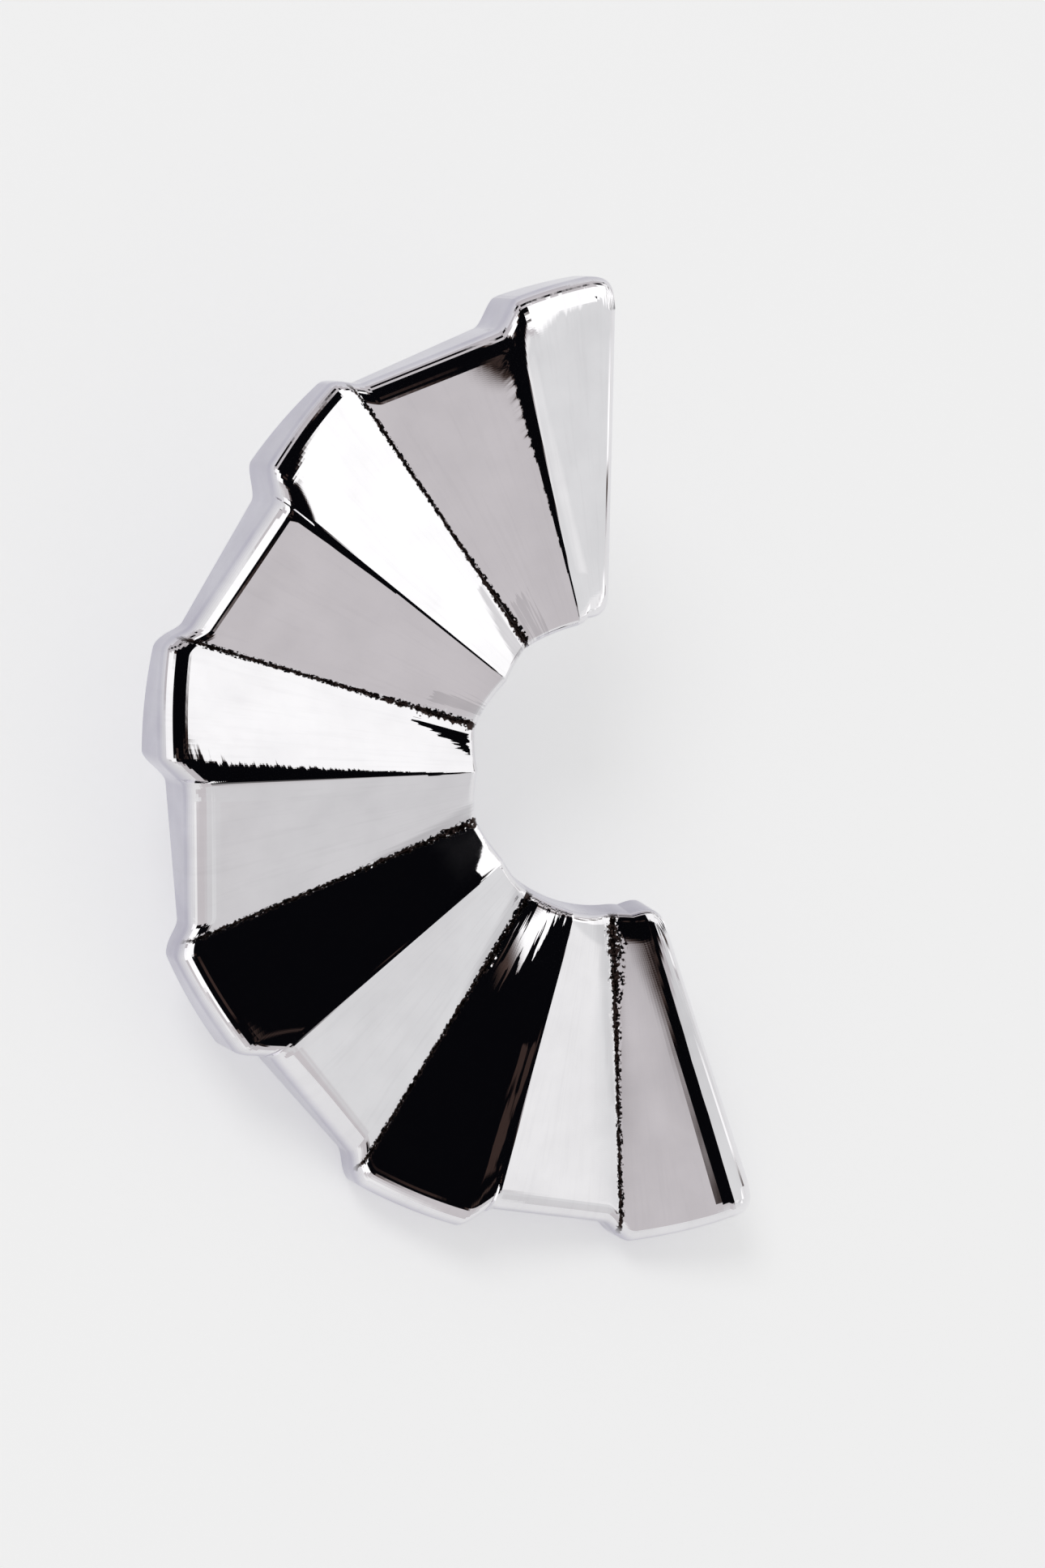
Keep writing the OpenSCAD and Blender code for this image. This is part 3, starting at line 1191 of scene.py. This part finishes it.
    def _lean(self, graph: Graph, point: FanPoint, strokes: Value, cloud: Value) -> tuple[Value, Value]:
        """Works out how polishing leans the metal: waves, brush marks, and hair lines along ridges and rim.

        Args:
            graph: The finish's tree.
            point: The shaded point.
            strokes: The brush's strokes along the blades, from -0.5 to 0.5.
            cloud: Where the polish is duller.

        Returns:
            The lean away from the centre and the lean towards the next blade.
        """
        across, along = self.rim_hair_scales
        combed = graph.vector(point.turn * point.radius * across, point.radius * along, 0.0)
        rim_hair = graph.swing(combed, 1.0, 2.0, self.seed + Polished.RIM_HAIRS)
        on_first = point.turn < math.radians(self.plate.long_angle)
        at_rim = (self.rim_hair_reach - point.rim).ramp(0.0, 1.0) * on_first.mix(self.rim_hair_share, 1.0)
        wave, cross_wave = (
            graph.swing(point.place, self.wave_scale, 1.0, self.plate.seed + layer)
            for layer in (Pressed.WAVES, Pressed.RIPPLES)
        )
        outward = cross_wave * self.wave_lean + rim_hair * at_rim * self.rim_brush_lean
        onward = wave * self.wave_lean + strokes * self.brush_lean * (self.stroke_evenness + cloud)
        return outward, onward + self._fringe(graph, point)

    def _touched(
        self, point: FanPoint, strokes: Value, outward: Value, onward: Value
    ) -> tuple[Value, Value, Number, Number]:
        """Adds what each mark and stretch does.

        Args:
            point: The shaded point.
            strokes: The brush's strokes.
            outward: The metal's lean away from the centre without them.
            onward: Its lean towards the next blade.

        Returns:
            The two leans, the painted shade and the haze with them.
        """
        sums: dict[str, Number] = {"outward": outward, "onward": onward, "shade": 0.0, "haze": 0.0}
        for mark in self.marks:
            share = mark.share(point, strokes)
            for key in sums:
                amount = getattr(mark, key)
                if amount:
                    sums[key] = sums[key] + share * amount
        return tuple(sums.values())

    def material(self, laid: LaidDown) -> bpy.types.Material:
        """Makes the finish's material.

        Args:
            laid: The fan's frame.

        Returns:
            The material.
        """
        material = bpy.data.materials.new(self.name)
        material.use_nodes = True
        graph = Graph(material.node_tree)
        shader = material.node_tree.nodes["Principled BSDF"]
        point = self._point(graph, laid)
        caught, rough = self._residue(graph, point)
        cloud = graph.noise(point.place, self.cloud_scale, 3.0, self.seed + Polished.CLOUDS)
        along, across = self.stroke_scales
        combed = graph.vector(point.radius * along, point.turn * across, 0.0)
        strokes = graph.swing(combed, 1.0, 3.0, self.seed + Polished.STROKES)
        leans = self._lean(graph, point, strokes, cloud)
        outward, onward, shade, haze = self._touched(point, strokes, *leans)
        bead, cross_bead = (
            graph.swing(point.place, self.bead_scale, 1.0, self.seed + layer)
            for layer in (Polished.BEADS, Polished.CROSS_BEADS)
        )
        outward = (outward + bead * rough * self.bead_lean) * point.faces
        onward = (onward + cross_bead * rough * self.bead_lean) * point.faces

        # Painted reflection: the walls get a darker lavender base colour, in patches, for the tone that they
        # mirror.
        wall_reflection_patches = graph.patches(point.place, self.wall_reflection_scale, 3.0, self.seed + Polished.WALLS)
        walls = graph.colours(wall_reflection_patches, *((*colour, 1.0) for colour in self.wall_reflection_colours))
        metal = graph.colours(point.faces, walls, (*self.colour, 1.0))
        # Clouds and brush strokes darken the metal at random; the marks' shade adds painted shade, or painted
        # light where it is below 0.
        clouded = (cloud - self.cloud_from).most(0.0) * self.cloud_shade
        darker = (clouded + shade + strokes.most(0.0) * self.stroke_shade).least(1.0)
        shaded = graph.colours(darker, metal, (*self.shade_colour, 1.0))
        graph.feed(shader.inputs["Base Color"], graph.colours(caught, shaded, (*self.residue_colour, 1.0)))
        polished = point.faces.mix(self.wall_roughness, self.roughness)
        satin = polished + (cloud - self.haze_from).most(0.0) * self.cloud_haze + haze
        graph.feed(shader.inputs["Roughness"], caught.mix(satin, self.residue_roughness))
        shader.inputs["Metallic"].default_value = 1.0
        graph.feed(shader.inputs["Normal"], self._leaned(graph, laid, point, outward, onward))
        return material

    @staticmethod
    def _leaned(graph: Graph, laid: LaidDown, point: FanPoint, outward: Value, onward: Value) -> Value:
        """Leans the surface's normal.

        Args:
            graph: The finish's tree.
            laid: The fan's frame.
            point: The shaded point.
            outward: The lean away from the centre.
            onward: The lean towards the next blade.

        Returns:
            The normal.
        """
        along = (point.x * outward - point.y * onward) / point.radius
        up = (point.y * outward + point.x * onward) / point.radius
        turn = laid.lay.to_quaternion().to_euler()
        moved = {"Vector": graph.vector(along, up, 0.0), "Rotation": turn}
        turned = graph.value(graph.node("ShaderNodeMapping", {"vector_type": "VECTOR"}, moved))
        normal = graph.node("ShaderNodeNewGeometry").outputs["Normal"]
        return graph.vector_math("NORMALIZE", graph.vector_math("ADD", normal, turned))


@dataclass(frozen=True)
class Viewpoint:
    """The camera, in the fan's own frame, in millimetres and degrees.

    Attributes:
        place: Where it stands.
        aim: What it points at.
        roll: How far it is turned about its own axis.
        focal_px: Its focal length, in the photo's pixels.
        sensor: The width of its sensor.
        clip: The nearest and the farthest that it sees, in metres.
    """

    place: tuple[float, float, float] = (-71.44, 22.13, 166.96)
    aim: tuple[float, float, float] = (-3.43, -0.74, 0.0)
    roll: float = 0.22
    focal_px: float = 5457.6
    sensor: float = 36.0
    clip: tuple[float, float] = (0.01, 20.0)

    def add(self, laid: LaidDown) -> bpy.types.Object:
        """Adds the camera and makes it the scene's.

        Args:
            laid: The fan's frame.

        Returns:
            The camera.
        """
        camera = bpy.data.objects.new("photo_camera", bpy.data.cameras.new("photo_camera"))
        camera.data.sensor_width = self.sensor
        camera.data.lens = self.focal_px * self.sensor / PHOTO_HEIGHT_PX
        camera.data.clip_start, camera.data.clip_end = self.clip
        place, aim = Vector(self.place), Vector(self.aim)
        back = (place - aim).normalized()
        up = (Vector((0.0, 1.0, 0.0)) - back * back.y).normalized()
        up.rotate(Matrix.Rotation(math.radians(self.roll), 3, back))
        right = up.cross(back)
        axes = Matrix((right, up, back)).transposed().to_4x4()
        turn = laid.lay.to_3x3().normalized().to_4x4()
        camera.matrix_world = Matrix.Translation(laid.lay @ place) @ turn @ axes
        bpy.context.scene.collection.objects.link(camera)
        bpy.context.scene.camera = camera
        return camera


@dataclass
class EarPost:
    """The ear post: a round pad and a straight wire with a round tip, turned as one.

    Lengths are in millimetres. Those of the part's source have its values.
    """

    name: str = "ear_post_drawn"
    place: tuple[float, float] = (-11.4, 9.4)
    wire: float = 0.8
    length: float = 10.0
    pad: float = 3.2
    pad_thickness: float = 0.5
    solder_gap: float = 0.05
    solder_bead: float = 0.09
    film_left: float = 0.004
    face_shares: tuple[float, ...] = (0.35, 0.7, 0.95)
    pad_edge: float = 0.12
    root_fillet: float = 0.22
    arc_steps: int = 8
    wire_steps: int = 12
    sides: int = 96

    @property
    def pin_start(self) -> float:
        """Distance from the plate's back to where the bare wire starts."""
        return self.solder_gap + self.pad_thickness

    @property
    def pin_end(self) -> float:
        """Distance from the plate's back to the middle of the round tip."""
        return self.length - self.wire / 2

    @property
    def pin_middle(self) -> Vector:
        """Middle of the bare wire, which the record's mount names."""
        return Vector((*self.place, -(self.pin_start + self.pin_end) / 2))

    def _arc(
        self, middle: tuple[float, float], radius: float, start: float, end: float
    ) -> list[tuple[float, float]]:
        """Points of an arc in the outline.

        Args:
            middle: Its middle, as radius and depth.
            radius: Its own radius.
            start: Angle of its first point, in degrees from outwards to deeper.
            end: Angle of its last point.

        Returns:
            The points.
        """
        angles = [math.radians(start + (end - start) * i / self.arc_steps) for i in range(self.arc_steps + 1)]
        return [(middle[0] + radius * math.cos(a), middle[1] + radius * math.sin(a)) for a in angles]

    def profile(self) -> list[tuple[float, float]]:
        """The outline that is turned: radius and depth behind the plate, from the solder's face to the tip.

        Returns:
            The points between the two poles.
        """
        pad, wire = self.pad / 2, self.wire / 2
        bead, edge, root = self.solder_bead, self.pad_edge, self.root_fillet
        face = [(pad * share, self.film_left) for share in self.face_shares]
        solder = self._arc((pad + bead, self.film_left + bead), bead, 270.0, 180.0)
        lower_edge = self._arc((pad - edge, self.pin_start - edge), edge, 0.0, 90.0)
        fillet = self._arc((wire + root, self.pin_start + root), root, 270.0, 180.0)
        first, bare = self.pin_start + root, self.pin_end - self.pin_start - root
        straight = [(wire, first + bare * i / self.wire_steps) for i in range(1, self.wire_steps)]
        tip = self._arc((0.0, self.pin_end), wire, 0.0, 90.0)[:-1]
        return face + solder + lower_edge + fillet + straight + tip

    def turned(self, laid: LaidDown, finish: bpy.types.Material) -> bpy.types.Object:
        """Turns the outline into a closed mesh.

        Args:
            laid: The fan's frame.
            finish: The post's finish.

        Returns:
            The post, laid down.
        """
        outline = self.profile()
        x, y = self.place
        angles = [2 * math.pi * i / self.sides for i in range(self.sides)]
        mesh = bmesh.new()
        rings = []
        for radius, depth in outline:
            points = [Vector((x + radius * math.cos(a), y + radius * math.sin(a), -depth)) for a in angles]
            rings.append([mesh.verts.new(laid.lay @ point) for point in points])
        poles = [mesh.verts.new(laid.lay @ Vector((x, y, -depth))) for depth in (self.film_left, self.length)]
        neighbours = [(i, (i + 1) % self.sides) for i in range(self.sides)]
        for upper, lower in zip(rings, rings[1:]):
            for i, j in neighbours:
                mesh.faces.new((upper[i], lower[i], lower[j], upper[j]))
        for i, j in neighbours:
            mesh.faces.new((poles[0], rings[0][i], rings[0][j]))
            mesh.faces.new((poles[1], rings[-1][j], rings[-1][i]))
        bmesh.ops.recalc_face_normals(mesh, faces=mesh.faces)
        for face in mesh.faces:
            face.smooth = True
        data = bpy.data.meshes.new(self.name)
        mesh.to_mesh(data)
        mesh.free()
        data.materials.append(finish)
        post = bpy.data.objects.new(self.name, data)
        bpy.context.scene.collection.objects.link(post)
        return post


@dataclass(frozen=True)
class DrawnWire:
    """Drawn and softly polished wire metal, with a dull ring of solder next to the plate.

    Lengths are in millimetres. A scale is how many waves of a noise fit in one of them.
    """

    post: EarPost
    name: str = "drawn_post_wire"
    seed: float = 11.0
    colour: tuple[float, float, float] = (0.78, 0.78, 0.79)
    roughness: float = 0.16
    line_scales: tuple[float, float] = (22.0, 0.6)
    ring_scale: float = 18.0
    line_depth: float = 0.0004
    line_roughness: float = 0.16
    pad_shares: tuple[float, float] = (0.55, 0.75)
    worn_colour: tuple[float, float, float] = (0.55, 0.54, 0.55)
    worn_from: float = 0.35
    worn_share: float = 0.35
    cloud_scale: float = 1.4
    cloud_roughness: float = 0.08
    solder_colour: tuple[float, float, float] = (0.6, 0.59, 0.6)
    solder_roughness: float = 0.38
    solder_wander: float = 0.08
    solder_edge: float = 0.03
    grain_scale: float = 14.0
    grain_depth: float = 0.012

    def material(self, laid: LaidDown) -> bpy.types.Material:
        """Makes the finish's material.

        Args:
            laid: The fan's frame.

        Returns:
            The material.
        """
        material = bpy.data.materials.new(self.name)
        material.use_nodes = True
        graph = Graph(material.node_tree)
        shader = material.node_tree.nodes["Principled BSDF"]
        x, y, z = laid.unlaid(graph)
        x, y = x - self.post.place[0], y - self.post.place[1]
        place = graph.vector(x, y, z)
        radius = (x * x + y * y).root()
        across, along = self.line_scales
        drawn = graph.vector(x * across, y * across, z * along)
        lines = graph.noise(drawn, 1.0, 3.0, self.seed)
        rings = graph.noise(graph.vector(radius * self.ring_scale, 0.0, 0.0), 1.0, 3.0, self.seed)
        on_pad = radius.ramp(*(self.post.wire * share for share in self.pad_shares))
        marks = on_pad.mix(lines, rings)
        film = self.post.film_left + self.post.solder_bead
        cloud = graph.noise(place, self.cloud_scale, 3.0, self.seed)
        above_solder = z + film + (cloud - 0.5) * self.solder_wander
        solder = above_solder.ramp(-self.solder_edge, self.solder_edge)
        grain = graph.noise(place, self.grain_scale, 3.0, self.seed)
        colour = graph.colours(solder, (*self.colour, 1.0), (*self.solder_colour, 1.0))
        worn = (cloud - self.worn_from) * self.worn_share
        graph.feed(shader.inputs["Base Color"], graph.colours(worn, colour, (*self.worn_colour, 1.0)))
        wire = self.roughness + (marks - 0.5) * self.line_roughness
        rough = solder.mix(wire, self.solder_roughness) + (cloud - 0.5) * self.cloud_roughness
        graph.feed(shader.inputs["Roughness"], rough)
        shader.inputs["Metallic"].default_value = 1.0
        height = marks * self.line_depth + solder * grain * self.grain_depth
        bump = graph.node("ShaderNodeBump", None, {"Height": height, "Distance": MM})
        graph.feed(shader.inputs["Normal"], bump.outputs["Normal"])
        return material


class Tone(Enum):
    """What a card or a light of the studio sends to the fan, as linear red, green and blue."""

    WHITE = (1.22, 1.22, 1.21)
    PEARL = (0.95, 0.95, 0.945)
    PALE = (0.81, 0.815, 0.815)
    GREY = (0.715, 0.71, 0.715)
    LILAC = (0.64, 0.61, 0.62)
    BROWN = (0.07, 0.045, 0.038)
    UMBER = (0.045, 0.028, 0.024)
    BLACK = (0.002, 0.002, 0.003)


@dataclass(frozen=True)
class Card:
    """A card or a soft light round the fan, on a flat map of the sky.

    The map has the way that the fan faces in its middle, the fan's right to the right and its top upwards,
    and 1 is a right angle away.

    Attributes:
        tone: What it sends.
        left: Its left edge on the map, before it is turned.
        right: Its right edge.
        low: Its low edge.
        high: Its high edge.
        turn: Degrees that it is turned about its own middle, anticlockwise.
        soft: Half the width of its soft edge.
        corner: Radius of its corners.
    """

    tone: Tone
    left: float
    right: float
    low: float
    high: float
    turn: float = 0.0
    soft: float = 0.01
    corner: float = 0.02

    def over(self, graph: Graph, sky: Value, below: Value) -> Value:
        """Adds the card's nodes.

        Args:
            graph: The sky's tree.
            sky: The place on the map.
            below: The colour that shows where the card isn't.

        Returns:
            The colour with the card over it.
        """
        middle = ((self.left + self.right) / 2, (self.low + self.high) / 2, 0.0)
        moved = {"Vector": sky, "Location": middle, "Rotation": (0.0, 0.0, math.radians(self.turn))}
        turned = graph.node("ShaderNodeMapping", {"vector_type": "TEXTURE"}, moved)
        across, up, _ = graph.parts(graph.value(turned))
        beside = across.size() - ((self.right - self.left) / 2 - self.corner)
        above = up.size() - ((self.high - self.low) / 2 - self.corner)
        rounded = (beside.most(0.0) ** 2.0 + above.most(0.0) ** 2.0).root() + beside.most(above).least(0.0)
        share = (self.corner - rounded).ease(-self.soft, self.soft)
        return graph.colours(share, below, (*self.tone.value, 1.0))


@dataclass(frozen=True)
class Studio:
    """Soft studio light: cards and lights round the fan, a key light for the table, and the pale table.

    Attributes:
        cards: The cards and soft lights, the nearer ones later.
        around: What the metal mirrors where no card is.
        behind: How near to straight behind the fan the map goes.
        room: The even light of the room, which lights the table and shows behind it.
        key_power: Watts of the key light, which the metal doesn't mirror.
        key_from: Where the key light hangs, in metres.
        key_size: Its diameter, in metres.
        table_tone: The table's own colour.
        table_dull: How dark its duller clouds are, as a share of that colour.
        table_cloud_scale: How many of those fit in a metre.
        table_roughness: Its roughness.
        table_sheen: Its specular level.
        table_half: Half the table's width, in metres.
        table_glow: How much light the table, a lit acrylic sheet, gives itself.
    """

    cards: tuple[Card, ...]
    around: Tone = Tone.LILAC
    behind: float = 0.02
    room: tuple[float, float, float] = (0.46, 0.46, 0.46)
    key_power: float = 2.0
    key_from: tuple[float, float, float] = (-0.5, 0.55, 0.9)
    key_size: float = 0.5
    table_tone: tuple[float, float, float] = (0.9, 0.9, 0.9)
    table_dull: float = 0.985
    table_cloud_scale: float = 40.0
    table_roughness: float = 0.9
    table_sheen: float = 0.1
    table_half: float = 3.0
    table_glow: float = 0.4

    def sky(self, laid: LaidDown) -> None:
        """Makes the scene's world.

        Args:
            laid: The fan's frame.
        """
        world = bpy.data.worlds.new("studio_sky")
        world.use_nodes = True
        bpy.context.scene.world = world
        graph = Graph(world.node_tree)
        x, y, z = laid.facing(graph)
        spread = (z + 1.0).most(self.behind)
        place = graph.vector(x / spread, y / spread, 0.0)
        colour = (*self.around.value, 1.0)
        for card in self.cards:
            colour = card.over(graph, place, colour)
        mirrored = graph.node("ShaderNodeLightPath").outputs["Is Glossy Ray"]
        room = world.node_tree.nodes["Background"]
        room.inputs["Color"].default_value = (*self.room, 1.0)
        held_up = graph.node("ShaderNodeBackground", None, {"Color": colour})
        shaders = {0: mirrored, 1: room.outputs[0], 2: held_up.outputs[0]}
        both = graph.node("ShaderNodeMixShader", None, shaders)
        graph.feed(world.node_tree.nodes["World Output"].inputs["Surface"], both.outputs[0])

    def key(self) -> bpy.types.Object:
        """Hangs the key light over the table, where the metal doesn't mirror it.

        Returns:
            The light.
        """
        light = bpy.data.lights.new("key_light", "AREA")
        light.shape = "DISK"
        light.size = self.key_size
        light.energy = self.key_power
        key = bpy.data.objects.new("key_light", light)
        place = Vector(self.key_from)
        key.matrix_world = Matrix.Translation(place) @ place.to_track_quat("Z", "Y").to_matrix().to_4x4()
        key.visible_glossy = False
        bpy.context.scene.collection.objects.link(key)
        return key

    def table(self) -> bpy.types.Object:
        """Lays the pale table that the stud rests on.

        Returns:
            The table.
        """
        half = self.table_half
        corners = [(-half, -half, 0.0), (half, -half, 0.0), (half, half, 0.0), (-half, half, 0.0)]
        mesh = bpy.data.meshes.new("pale_table")
        mesh.from_pydata(corners, [], [(0, 1, 2, 3)])
        material = bpy.data.materials.new("pale_table")
        material.use_nodes = True
        graph = Graph(material.node_tree)
        shader = material.node_tree.nodes["Principled BSDF"]
        point = graph.node("ShaderNodeTexCoord").outputs["Object"]
        cloud = graph.noise(point, self.table_cloud_scale)
        dull = (*(channel * self.table_dull for channel in self.table_tone), 1.0)
        graph.feed(shader.inputs["Base Color"], graph.colours(cloud, dull, (*self.table_tone, 1.0)))
        shader.inputs["Roughness"].default_value = self.table_roughness
        shader.inputs["Specular IOR Level"].default_value = self.table_sheen
        shader.inputs["Emission Color"].default_value = (*self.table_tone, 1.0)
        shader.inputs["Emission Strength"].default_value = self.table_glow
        mesh.materials.append(material)
        table = bpy.data.objects.new("pale_table", mesh)
        bpy.context.scene.collection.objects.link(table)
        return table


ROUND_THE_FAN = (
    Card(Tone.BLACK, -0.9, 0.9, 0.8, 0.93, soft=0.02),
    Card(Tone.WHITE, 0.2, 1.05, -0.03, 0.75, soft=0.008),
    Card(Tone.BROWN, -0.4, 0.275, -0.155, 0.62, soft=0.02),
    Card(Tone.BLACK, -0.37, 0.262, -0.137, 0.6, soft=0.012),
    Card(Tone.BROWN, 0.0, 0.44, -0.265, 0.185, soft=0.012, corner=0.215),
    Card(Tone.BLACK, 0.01, 0.43, -0.255, 0.175, soft=0.012, corner=0.2),
    Card(Tone.UMBER, -0.28, -0.03, 0.055, 0.095, turn=-34.0, soft=0.012),
    Card(Tone.WHITE, -0.9, -0.38, -0.22, 0.5, turn=8.0, soft=0.012),
    Card(Tone.PEARL, 0.45, 0.87, -0.185, -0.06, soft=0.01),
    Card(Tone.PALE, 0.5, 0.95, -0.1, -0.0, turn=-2.0, soft=0.012),
    Card(Tone.PALE, 0.37, 0.9, -0.6, -0.19, soft=0.035),
    Card(Tone.GREY, 0.22, 0.5, -1.1, -0.275, soft=0.06, corner=0.06),
    Card(Tone.PEARL, -1.3, -0.22, -1.3, -0.33, soft=0.08, corner=0.1),
    Card(Tone.WHITE, 0.88, 0.96, -0.7, 0.7, soft=0.02),
    Card(Tone.BROWN, 0.96, 1.0, -0.7, 0.7, soft=0.015),
)


def press_plate(plate: FanPlate, laid: LaidDown, finish: bpy.types.Material) -> bpy.types.Object:
    """Presses the plate's blank and makes the result a plain mesh.

    Args:
        plate: The plate.
        laid: The fan's frame.
        finish: The plate's finish.

    Returns:
        The plate, laid down.
    """
    sizes = plate.numbers()
    tree = PressTree(sizes)
    blank = plate.blank()
    modifier = blank.modifiers.new("press", "NODES")
    modifier.node_group = tree.graph.tree
    place, lean, scale = laid.lay.decompose()
    values = {**sizes, "place": place, "lean": lean.to_euler(), "scale": scale, "finish": finish}
    for key, value in values.items():
        modifier[tree.sockets[key].identifier] = value
    evaluated = blank.evaluated_get(bpy.context.evaluated_depsgraph_get())
    pressed = bpy.data.meshes.new_from_object(evaluated)
    blank.modifiers.remove(modifier)
    blank.data = pressed
    return blank


def main() -> None:
    """Builds the stud, its table and its light, in order."""
    logging.basicConfig(level=logging.INFO, format="%(name)s: %(message)s")
    ear_post = EarPost()
    laid = LaidDown.from_mount(frame["record"]["mounts"][0], ear_post.pin_middle)
    Viewpoint().add(laid)
    studio = Studio(ROUND_THE_FAN)
    studio.sky(laid)
    studio.key()
    studio.table()
    bpy.context.scene.view_settings.view_transform = "Standard"
    pieces = {
        ("fan_plate", "polished_plate"): press_plate(PLATE, laid, MirrorMetal(PLATE).material(laid)),
        ("ear_post", "post_wire"): ear_post.turned(laid, DrawnWire(ear_post).material(laid)),
    }
    for (node, slot), piece in pieces.items():
        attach(piece, "root")
        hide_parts(node)
        log.info("%s: %d faces, for %s", piece.name, len(piece.data.polygons), node)


if __name__ == "__main__":
    main()
